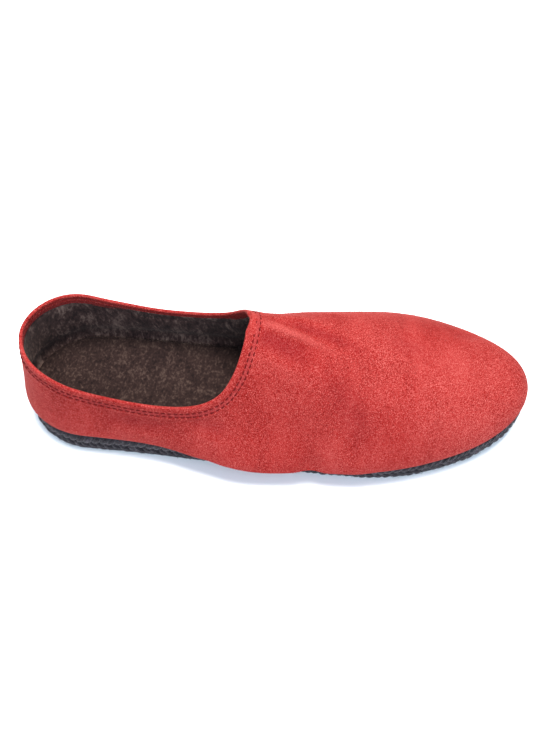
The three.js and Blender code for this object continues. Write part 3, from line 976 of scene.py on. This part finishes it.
class Graph:
    """Adds nodes to a tree. An input is a plain value or another node's output."""

    def __init__(self, tree):
        self.tree = tree

    def add(self, kind, inputs=None, **settings):
        """One node with its settings, and its inputs by name or number."""
        node = self.tree.nodes.new(kind)
        for name, value in settings.items():
            setattr(node, name, value)
        for name, value in (inputs or {}).items():
            self.feed(node.inputs[name], value)
        return node

    def feed(self, socket, value):
        """Links an output to a socket, or sets the socket's plain value."""
        if isinstance(value, bpy.types.NodeSocket):
            self.tree.links.new(value, socket)
        else:
            socket.default_value = value

    def math(self, operation, *values, clamp=False):
        """A sum, product or other operation on values."""
        inputs = dict(enumerate(values))
        return self.add("ShaderNodeMath", inputs, operation=operation, use_clamp=clamp).outputs[0]

    def noise(self, vector, scale, detail, roughness=0.5, distortion=0.0):
        """Soft noise at a scale."""
        inputs = {
            "Vector": vector, "Scale": scale, "Detail": detail,
            "Roughness": roughness, "Distortion": distortion,
        }
        return self.add("ShaderNodeTexNoise", inputs).outputs[0]

    def ramp(self, factor, *stops):
        """Colour ramp through (place, colour) stops."""
        node = self.add("ShaderNodeValToRGB", {"Fac": factor})
        elements = node.color_ramp.elements
        while len(elements) < len(stops):
            elements.new(0.5)
        for element, (place, colour) in zip(elements, stops):
            element.position = place
            element.color = colour4(colour)
        return node.outputs[0]

    def tint(self, factor, colour, tint):
        """A colour with a plain tint mixed in by a factor."""
        inputs = {"Factor": factor, FIRST_TINT: colour, SECOND_TINT: colour4(tint)}
        return self.add("ShaderNodeMix", inputs, data_type="RGBA").outputs[MIXED_TINT]

    def attribute(self, name):
        """A value that the mesh holds at each point."""
        return self.add("ShaderNodeAttribute", attribute_name=name).outputs["Fac"]

    def place(self, stretch=(1, 1, 1)):
        """The object's own place, stretched along its axes."""
        vector = self.add("ShaderNodeTexCoord").outputs["Object"]
        return self.add("ShaderNodeMapping", {"Vector": vector, "Scale": stretch}).outputs[0]

    def yarn_map(self):
        """Place along and around a tube, from its own map."""
        return self.add("ShaderNodeUVMap", uv_map="yarn").outputs[0]

    def effect(self, name, inputs):
        """Places a shared effect, built at its first use, with its own values."""
        tree = bpy.data.node_groups.get(name) or EFFECTS[name](name)
        return self.add("ShaderNodeGroup", inputs, node_tree=tree).outputs


def new_effect(name, inputs, outputs):
    """A node group that takes a vector and numbers, and puts out numbers."""
    tree = bpy.data.node_groups.new(name, "ShaderNodeTree")
    tree.interface.new_socket("Vector", in_out="INPUT", socket_type="NodeSocketVector")
    for way, names in (("INPUT", inputs), ("OUTPUT", outputs)):
        for socket in names:
            tree.interface.new_socket(socket, in_out=way, socket_type="NodeSocketFloat")
    graph = Graph(tree)
    return graph, graph.add("NodeGroupInput").outputs


def nap_effect(name):
    """Shared effect: brushed fibres as fine grain, tufts and larger patches where the nap lies over."""
    inputs = ("Grain Scale", "Grain Contrast", "Patch Scale", "Patch Contrast")
    graph, given = new_effect(name, inputs, ("Tone", "Height"))
    grain = graph.noise(given["Vector"], given["Grain Scale"], detail=1.0, roughness=0.6, distortion=0.6)
    tuft_scale = graph.math("MULTIPLY", given["Grain Scale"], TUFT_SCALE)
    tuft = graph.noise(given["Vector"], tuft_scale, detail=1.0, distortion=0.4)
    patch = graph.noise(given["Vector"], given["Patch Scale"], detail=3.0, roughness=0.55, distortion=0.8)
    tuft = graph.math("MULTIPLY", tuft, 1 - GRAIN_WEIGHT)
    height = graph.math("ADD", graph.math("MULTIPLY", grain, GRAIN_WEIGHT), tuft)
    lie = graph.math("SUBTRACT", patch, 0.5)
    calm = graph.math("MULTIPLY_ADD", lie, -PATCH_CALM, 1.0)
    contrast = graph.math("MULTIPLY", given["Grain Contrast"], calm)
    fleck = graph.math("MULTIPLY", graph.math("SUBTRACT", height, 0.5), contrast)
    tone = graph.math("MULTIPLY_ADD", lie, given["Patch Contrast"], 0.5)
    tone = graph.math("ADD", fleck, tone, clamp=True)
    graph.add("NodeGroupOutput", {"Tone": tone, "Height": height})
    return graph.tree


def yarn_effect(name):
    """Shared effect: twisted yarn along a tube's own map, with single fibres along it."""
    graph, given = new_effect(name, ("Plies", "Twist"), ("Fibre", "Height"))
    along, around, _ = graph.add("ShaderNodeSeparateXYZ", {"Vector": given["Vector"]}).outputs
    around = graph.math("MULTIPLY", around, given["Plies"])
    around = graph.math("ADD", around, graph.math("MULTIPLY", along, given["Twist"]))
    ply = graph.math("SINE", graph.math("MULTIPLY", around, 2 * math.pi))
    stretched = [graph.math("MULTIPLY", way, share) for way, share in zip((along, around), YARN_STRETCH)]
    stretched = graph.add("ShaderNodeCombineXYZ", dict(enumerate(stretched))).outputs[0]
    fibre = graph.noise(stretched, scale=1.0, detail=3.0, roughness=0.6)
    height = graph.math("ADD", graph.math("MULTIPLY", ply, PLY_HEIGHT), fibre)
    graph.add("NodeGroupOutput", {"Fibre": fibre, "Height": height})
    return graph.tree


EFFECTS = {"Brushed nap": nap_effect, "Twisted yarn": yarn_effect}


class Finish(Graph):
    """A material with a Principled shader whose plain values are set on its own sockets."""

    def __init__(self, name, plain):
        self.material = bpy.data.materials.new(name)
        self.material.use_nodes = True
        super().__init__(self.material.node_tree)
        self.shader = self.tree.nodes["Principled BSDF"]
        for socket, value in plain.items():
            self.shader.inputs[socket].default_value = value

    def done(self, colour, height=None, strength=0.0, depth=0.0):
        """Feeds the shader a colour, and a height as a bump of a depth in millimetres."""
        self.feed(self.shader.inputs["Base Color"], colour)
        if height is not None:
            inputs = {"Height": height, "Strength": strength, "Distance": depth * MM}
            self.feed(self.shader.inputs["Normal"], self.add("ShaderNodeBump", inputs).outputs[0])
        return self.material


def suede_material(colours, sizes):
    """Napped suede: streaky grain, patches where the nap lies over, worn places with painted light and shade,
    and painted shade in the creases with a painted highlight on their ridges.

    A painted sheen lightens the outline where the surface is seen edge-on, and the hem is dull between its
    rows of stitches.
    """
    finish = Finish("red_suede", {
        "Roughness": 0.93, "Specular IOR Level": 0.06,
        "Sheen Weight": 0.02, "Sheen Roughness": 0.3, "Sheen Tint": (1.0, 0.4, 0.35, 1),
    })
    nap = finish.effect("Brushed nap", {
        "Vector": finish.place((1.0, 0.5, 0.5)),
        "Grain Scale": 4200.0, "Grain Contrast": 2.45, "Patch Scale": 50.0, "Patch Contrast": 0.5,
    })
    # Worn nap together with painted light and painted shade, held by the mesh
    tone = finish.math("ADD", nap["Tone"], finish.attribute("worn_and_painted_light"), clamp=True)
    colour = finish.ramp(tone, (0.0, colours.suede_dark), (0.5, colours.suede), (1.0, colours.suede_light))
    # Painted shade in the troughs of the creases and a painted highlight on their ridges, by the depth of the
    # relief
    sunk = finish.attribute("sunk")
    for share, tint in ((-CREASE_SHADE, colours.suede_painted_shade), (RIDGE_LIGHT, colours.suede_light)):
        colour = finish.tint(finish.math("MULTIPLY", sunk, share, clamp=True), colour, tint)
    # Painted sheen: the colour lightens where the surface is seen edge-on
    facing = finish.add("ShaderNodeLayerWeight", {"Blend": 0.5}).outputs["Facing"]
    rim = finish.math("MULTIPLY", finish.math("POWER", facing, RIM_POWER), RIM_SHARE, clamp=True)
    colour = finish.tint(rim, colour, colours.suede_painted_rim)
    middle = (sizes.first_row + sizes.second_row) / 2
    reach = (sizes.second_row - sizes.first_row) / 2
    away = finish.math("ABSOLUTE", finish.math("SUBTRACT", finish.attribute("below"), middle))
    between = finish.math("SUBTRACT", 1.0, finish.math("DIVIDE", away, reach), clamp=True)
    colour = finish.tint(finish.math("MULTIPLY", between, HEM_SHARE), colour, colours.hem)
    return finish.done(colour, nap["Height"], strength=0.6, depth=0.5)


def nap_material(colours):
    """Single hairs of the suede, light or dark from place to place."""
    finish = Finish("suede_hairs", {"Roughness": 0.9, "Specular IOR Level": 0.08})
    tone = finish.noise(finish.place(), scale=500.0, detail=1.0)
    return finish.done(finish.ramp(tone, (0.3, colours.suede), (0.9, colours.suede_light)))


def lining_material(colours, name, shade, mottle):
    """Brushed pile: dark, mottled with lighter streaks where it has worn. The shade darkens it all.

    The lining's colours hold painted light against the shade on its wall inside the shoe, and the insole, of
    the same cloth, keeps only a share of them.
    """
    finish = Finish(name, {
        "Roughness": 0.95, "Specular IOR Level": 0.06, "Sheen Weight": 0.08, "Sheen Tint": (1.0, 0.8, 0.7, 1),
    })
    nap = finish.effect("Brushed nap", {
        "Vector": finish.place((1.0, 0.7, 0.45)),
        "Grain Scale": 900.0, "Grain Contrast": 1.2, "Patch Scale": 150.0, "Patch Contrast": mottle,
    })
    stops = ((0.15, colours.lining_dark), (0.55, colours.lining), (1.0, colours.lining_light))
    colour = finish.ramp(nap["Tone"], *((place, shaded(tone, shade)) for place, tone in stops))
    return finish.done(colour, nap["Height"], strength=0.5, depth=0.7)


def rope_material(colours):
    """Dyed plant fibre: near black with bluish fibres that catch the light."""
    finish = Finish("navy_rope", {
        "Roughness": 0.95, "Specular IOR Level": 0.08,
        "Sheen Weight": 0.2, "Sheen Roughness": 0.5, "Sheen Tint": (1.0, 0.92, 0.95, 1),
    })
    yarn = finish.effect("Twisted yarn", {"Vector": finish.yarn_map(), "Plies": 9.0, "Twist": 2.2})
    patch = finish.noise(finish.place(), scale=240.0, detail=3.0)
    tone = finish.math("MULTIPLY", finish.math("ADD", yarn["Fibre"], patch), ROPE_SHARE)
    colour = finish.ramp(tone, (0.40, colours.rope_dark), (0.62, colours.rope), (0.80, colours.rope_light))
    return finish.done(colour, yarn["Height"], strength=0.9, depth=0.7)


def core_material(colours):
    """Inner coils of the rope: the same fibre, read from the object's own place."""
    finish = Finish("rope_core", {"Roughness": 0.85, "Specular IOR Level": 0.2})
    nap = finish.effect("Brushed nap", {
        "Vector": finish.place(),
        "Grain Scale": 700.0, "Grain Contrast": 1.5, "Patch Scale": 60.0, "Patch Contrast": 0.6,
    })
    stops = ((0.2, colours.rope_dark), (0.6, colours.rope), (1.0, colours.rope_light))
    return finish.done(finish.ramp(nap["Tone"], *stops), nap["Height"], strength=0.6, depth=0.8)


def thread_material(colours):
    """Waxed sewing thread of two plies."""
    finish = Finish("sewing_thread", {"Roughness": 0.85, "Specular IOR Level": 0.05})
    yarn = finish.effect("Twisted yarn", {"Vector": finish.yarn_map(), "Plies": 2.0, "Twist": 3.0})
    stops = ((0.3, shaded(colours.thread, THREAD_SHADE)), (0.7, colours.thread))
    return finish.done(finish.ramp(yarn["Fibre"], *stops), yarn["Height"], strength=0.5, depth=0.2)


def floor_material(colours):
    """Plain pale floor with a faint unevenness."""
    finish = Finish("pale_floor", {"Roughness": 0.9, "Specular IOR Level": 0.1})
    patch = finish.noise(finish.place(), scale=3.0, detail=2.0)
    return finish.done(finish.ramp(patch, (0.3, shaded(colours.floor, FLOOR_SHADE)), (0.7, colours.floor)))


def make_piece(name, last, points, faces, material, uv=None, values=None):
    """Puts triangles into a mesh object that rides on the shoe: a map by corner, values by point."""
    if not np.isfinite(points).all():
        raise ValueError(f"{name} has points without a place")
    mesh = bpy.data.meshes.new(name)
    mesh.from_pydata(last.place(points), [], faces)
    if uv is not None:
        mesh.uv_layers.new(name="yarn").data.foreach_set("uv", uv.astype(np.float32).ravel())
    for key, value in (values or {}).items():
        mesh.attributes.new(key, "FLOAT", "POINT").data.foreach_set("value", value.astype(np.float32))
    mesh.shade_smooth()
    mesh.materials.append(material)
    piece = bpy.data.objects.new(name, mesh)
    bpy.context.scene.collection.objects.link(piece)
    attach(piece, BODY)
    return piece


def tube_piece(name, last, parts, material):
    """Joins several lots of tubes into one piece, with their seams and ends closed."""
    start = np.cumsum([0] + [len(points) for points, _, _ in parts[:-1]])
    faces = np.vstack([faces + first for (_, faces, _), first in zip(parts, start)])
    uv = np.vstack([uv for _, _, uv in parts])
    points, joined_faces, _, kept = weld(np.vstack([points for points, _, _ in parts]), faces)
    return make_piece(name, last, points, joined_faces, material, uv[faces[kept]])


def size(name, description, default):
    """A length in metres."""
    return FloatProperty(
        name=name, description=description, default=default, min=0, unit="LENGTH", precision=4,
    )


def angle(name, description, degrees):
    """An angle, given in degrees."""
    return FloatProperty(name=name, description=description, default=math.radians(degrees), subtype="ANGLE")


def paint(name, description, default):
    """A colour in linear light."""
    return FloatVectorProperty(
        name=name, description=description, default=default, subtype="COLOR", min=0, max=1,
    )


def number(name, description, default):
    """A count."""
    return IntProperty(name=name, description=description, default=default, min=1)


class LoaferSizes(bpy.types.PropertyGroup):
    """Sizes of the shoe."""

    length: size("Length", "Rope sole from heel to toe", INSOLE_HIGH.x - INSOLE_LOW.x + 2 * INSOLE_INSET * MM)
    ball_width: size("Ball width", "Rope sole at its widest", 0.086)
    instep_height: size("Instep height", "Peak of the throat above the floor", THROAT_TOP)
    heel_height: size("Heel height", "Back of the collar above the floor", 0.058)
    side_height: size("Side height", "Lowest point of the collar above the floor", 0.043)
    sole_at_heel: size("Sole at heel", "Rope under the heel", 0.0135)
    sole_at_ball: size("Sole at ball", "Rope under the ball of the foot", 0.011)
    arch_lift: size("Arch lift", "Underside of the waist above the floor", 0.0016)
    toe_spring: size("Toe spring", "Underside of the toe above the floor", 0.006)
    insole: size("Insole", "Thickness of the insole", 0.003)
    suede: size("Suede", "Thickness of the suede", 0.0012)
    hem: size("Hem", "Thickness of the suede turned over at the top edge", 0.0019)
    lining: size("Lining", "Thickness of the lining", 0.0006)
    first_row: size("First row", "First row of stitches below the top edge", 0.0029)
    second_row: size("Second row", "Second row of stitches below the top edge", 0.0049)
    stitch_pitch: size("Stitch pitch", "Length of one stitch with its gap", 0.003)
    thread: size("Thread", "Thickness of the sewing thread", 0.0007)
    strand_width: size("Strand width", "Width of a strand of the plait", 0.0037)
    strands: number("Strands", "Strands in one row round the side", 146)
    fibre_width: size("Fibre width", "Thickness of a loose rope fibre", 0.00011)
    fibres: number("Fibres", "Loose fibres round the rope", 900)
    hair_width: size("Hair width", "Thickness of a hair of the raised nap", 0.00007)
    hairs: number("Hairs", "Hairs of the raised nap", 30000)


class LoaferColours(bpy.types.PropertyGroup):
    """Colours of the finishes."""

    suede: paint("Suede", "Middle tone of the suede", (0.2250, 0.0106, 0.0094))
    suede_dark: paint("Suede dark", "Nap that lies away from the light", (0.0760, 0.0000, 0.0000))
    # Also the tint of the painted highlight on the creases' ridges
    suede_light: paint("Suede light", "Nap that stands up to the light", (0.4120, 0.0920, 0.0810))
    # Painted sheen where the surface is seen edge-on
    suede_painted_rim: paint("Suede rim", "Nap seen along the surface", (0.4100, 0.0700, 0.0580))
    # Painted shade inside the creases
    suede_painted_shade: paint("Suede shade", "Suede inside a crease", (0.1208, 0.0050, 0.0083))
    hem: paint("Hem", "Suede between the two rows of stitches", (0.2250, 0.0300, 0.0308))
    rope: paint("Rope", "Middle tone of the rope", (0.0118, 0.0092, 0.0128))
    rope_dark: paint("Rope dark", "Gaps between the fibres", (0.0055, 0.0044, 0.0066))
    rope_light: paint("Rope light", "Fibres that catch the light", (0.0500, 0.0405, 0.0515))
    # Lining colours, painted lighter against the shade on the lining's wall inside the shoe
    lining: paint("Lining", "Middle tone of the lining", (0.0560, 0.0305, 0.0271))
    lining_dark: paint("Lining dark", "Depth of the pile", (0.0210, 0.0117, 0.0117))
    lining_light: paint("Lining light", "Worn streaks of the pile", (0.2200, 0.1430, 0.1150))
    thread: paint("Thread", "Sewing thread", (0.1250, 0.0080, 0.0088))
    floor: paint("Floor", "Pale floor", (0.92, 0.925, 0.935))


class LoaferView(bpy.types.PropertyGroup):
    """Camera, floor and chance."""

    azimuth: angle("Azimuth", "Camera round the shoe, from its lateral side", 3.5)
    elevation: angle("Elevation", "Camera above the floor", 55)
    roll: angle("Roll", "Turn of the picture", 0.7)
    distance: size("Distance", "Camera from the middle of the shoe", 0.445)
    lens: FloatProperty(
        name="Lens", description="Focal length over a 36 mm wide frame", default=58.9, unit="CAMERA",
    )
    floor: size("Floor", "Width of the floor", 30.0)
    seed: number("Seed", "Start of the chance in nap, strands and fibres", 7)


def read_sizes(context):
    """The shoe's sizes by name, lengths in millimetres and counts as they are."""
    group = context.scene.loafer_sizes
    values = {name: getattr(group, name) for name in LoaferSizes.__annotations__}
    lengths = {name: value / MM for name, value in values.items() if isinstance(value, float)}
    return SimpleNamespace(**{**values, **lengths})


def start_chance(context):
    """Chance that gives the same draws on each run."""
    return np.random.default_rng(context.scene.loafer_view.seed)


class LOAFER_OT_upper(bpy.types.Operator):
    """Make the suede upper with its creases, slack roll and turned hem"""

    bl_idname = "loafer.upper"
    bl_label = "Suede Upper"

    def execute(self, context):
        sizes, colours = read_sizes(context), context.scene.loafer_colours
        last = Last(sizes)
        skin = Skin(last, sizes, UPPER_GRID)
        hem = 1 - smooth((skin.below - sizes.second_row) / HEM_REST)
        points, faces, source = skin.shell(start=0.0, wall=lerp(sizes.suede, sizes.hem, hem))
        values = {"sunk": skin.sunk, "below": skin.below, "worn_and_painted_light": worn_and_painted_tone(skin.points, skin.height)}
        values = {name: value[source] for name, value in values.items()}
        material = suede_material(colours, sizes)
        piece = make_piece("suede_upper", last, points, faces, material, values=values)
        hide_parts("upper")
        points, faces = raised_nap(skin, sizes, start_chance(context))
        make_piece("raised_nap", last, points, faces, nap_material(colours))
        return {"FINISHED"}


class LOAFER_OT_lining(bpy.types.Operator):
    """Make the pile lining inside the upper"""

    bl_idname = "loafer.lining"
    bl_label = "Pile Lining"

    def execute(self, context):
        sizes, colours = read_sizes(context), context.scene.loafer_colours
        last = Last(sizes, LINING_SLACK)
        skin = Skin(last, sizes, LINING_GRID, LINING_INSET)
        points, faces, _ = skin.shell(start=sizes.suede, wall=sizes.lining)
        material = lining_material(colours, "pile_lining", shade=1.0, mottle=LINING_MOTTLE)
        make_piece("pile_lining", last, points, faces, material)
        return {"FINISHED"}


class LOAFER_OT_stitches(bpy.types.Operator):
    """Sew two rows of stitches along the top edge"""

    bl_idname = "loafer.stitches"
    bl_label = "Hem Stitches"

    def execute(self, context):
        sizes, colours = read_sizes(context), context.scene.loafer_colours
        last = Last(sizes)
        skin = Skin(last, sizes, UPPER_GRID)
        rows = [stitch_row(skin, row, sizes) for row in (sizes.first_row, sizes.second_row)]
        tube_piece("hem_stitches", last, rows, thread_material(colours))
        return {"FINISHED"}


class LOAFER_OT_rope(bpy.types.Operator):
    """Make the rope sole: inner coils, plaited strands round the side and loose fibres"""

    bl_idname = "loafer.rope"
    bl_label = "Rope Sole"

    def execute(self, context):
        sizes, colours = read_sizes(context), context.scene.loafer_colours
        last = Last(sizes)
        points, faces, _, _ = weld(*rope_core(last))
        core = make_piece("rope_core", last, points, faces, core_material(colours))
        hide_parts("rope_sole")
        material = rope_material(colours)
        chance = start_chance(context)
        tube_piece("plait_strands", last, [plait_strands(last, sizes, chance)], material)
        tube_piece("rope_fibres", last, [stray_fibres(last, sizes, chance)], material)
        return {"FINISHED"}


class LOAFER_OT_insole(bpy.types.Operator):
    """Make the dished insole"""

    bl_idname = "loafer.insole"
    bl_label = "Insole"

    def execute(self, context):
        sizes, colours = read_sizes(context), context.scene.loafer_colours
        last = Last(sizes)
        points, faces, _, _ = weld(*insole_form(last, sizes))
        material = lining_material(colours, "insole_cloth", shade=INSOLE_SHADE, mottle=INSOLE_MOTTLE)
        piece = make_piece("insole_cloth", last, points, faces, material)
        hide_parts("insole")
        return {"FINISHED"}


class LOAFER_OT_stage(bpy.types.Operator):
    """Set up the pale floor, the soft light and the camera"""

    bl_idname = "loafer.stage"
    bl_label = "Stage"

    def execute(self, context):
        view = context.scene.loafer_view
        make_floor(view.floor, floor_material(context.scene.loafer_colours))
        make_camera(view)
        make_light(context.scene)
        context.scene.view_settings.view_transform = "Standard"
        return {"FINISHED"}


def make_floor(width, material):
    """A square of floor under the shoe."""
    half = width / 2
    mesh = bpy.data.meshes.new("floor")
    corners = [(-half, -half, 0), (half, -half, 0), (half, half, 0), (-half, half, 0)]
    mesh.from_pydata(corners, [], [(0, 1, 2, 3)])
    mesh.materials.append(material)
    floor = bpy.data.objects.new("floor", mesh)
    bpy.context.scene.collection.objects.link(floor)


def turned_back(direction):
    """Turn of a camera or lamp that stands in a direction and looks back along it."""
    return direction.to_track_quat("Z", "Y").to_matrix().to_4x4()


def make_camera(view):
    """Camera at an azimuth and elevation round the middle of the shoe, turned by the roll."""
    low, high = (np.array(corner) for corner in CAD_BOX)
    middle = Vector((low + high) / 2)
    back = Vector((
        math.sin(view.azimuth) * math.cos(view.elevation),
        -math.cos(view.azimuth) * math.cos(view.elevation),
        math.sin(view.elevation),
    ))
    data = bpy.data.cameras.new("camera")
    data.sensor_fit = "HORIZONTAL"
    data.sensor_width = SENSOR_WIDTH
    data.lens = view.lens
    camera = bpy.data.objects.new("camera", data)
    turn = turned_back(back) @ Matrix.Rotation(-view.roll, 4, "Z")
    camera.matrix_world = Matrix.Translation(middle + back * view.distance) @ turn
    bpy.context.scene.collection.objects.link(camera)
    bpy.context.scene.camera = camera


def make_light(scene):
    """Large soft lamps above the shoe, and a pale sky."""
    for lamp in LIGHTS:
        data = bpy.data.lights.new(lamp["name"], "AREA")
        data.size = lamp["width"]
        data.energy = lamp["watts"]
        data.color = lamp["colour"]
        light = bpy.data.objects.new(lamp["name"], data)
        place = Vector(lamp["place"])
        light.matrix_world = Matrix.Translation(place) @ turned_back(place)
        scene.collection.objects.link(light)
    world = bpy.data.worlds.new("sky")
    world.use_nodes = True
    background = world.node_tree.nodes["Background"]
    background.inputs["Color"].default_value = colour4(SKY["colour"])
    background.inputs["Strength"].default_value = SKY["strength"]
    scene.world = world


class LOAFER_PT_panel(bpy.types.Panel):
    """Sidebar panel with the pieces and their sizes"""

    bl_label = "Espadrille Loafer"
    bl_idname = "LOAFER_PT_panel"
    bl_space_type = "VIEW_3D"
    bl_region_type = "UI"
    bl_category = "Loafer"

    def draw(self, context):
        for operator in OPERATORS:
            self.layout.operator(operator.bl_idname)
        for scene_name, group in GROUPS.items():
            box = self.layout.box()
            for name in group.__annotations__:
                box.prop(getattr(context.scene, scene_name), name)


OPERATORS = (
    LOAFER_OT_upper, LOAFER_OT_lining, LOAFER_OT_stitches, LOAFER_OT_rope, LOAFER_OT_insole, LOAFER_OT_stage,
)
GROUPS = {"loafer_sizes": LoaferSizes, "loafer_colours": LoaferColours, "loafer_view": LoaferView}


def register():
    """Registers the classes and puts the property groups on the scene."""
    for kind in (*GROUPS.values(), *OPERATORS, LOAFER_PT_panel):
        bpy.utils.register_class(kind)
    for name, group in GROUPS.items():
        setattr(bpy.types.Scene, name, PointerProperty(type=group))


def unregister():
    """Takes away what register added, in the other order."""
    for name in GROUPS:
        delattr(bpy.types.Scene, name)
    for kind in (LOAFER_PT_panel, *reversed(OPERATORS), *reversed(GROUPS.values())):
        bpy.utils.unregister_class(kind)


def main():
    """Makes the shoe and its stage."""
    register()
    bpy.ops.loafer.upper()
    bpy.ops.loafer.lining()
    bpy.ops.loafer.stitches()
    bpy.ops.loafer.rope()
    bpy.ops.loafer.insole()
    bpy.ops.loafer.stage()


if __name__ == "__main__":
    main()
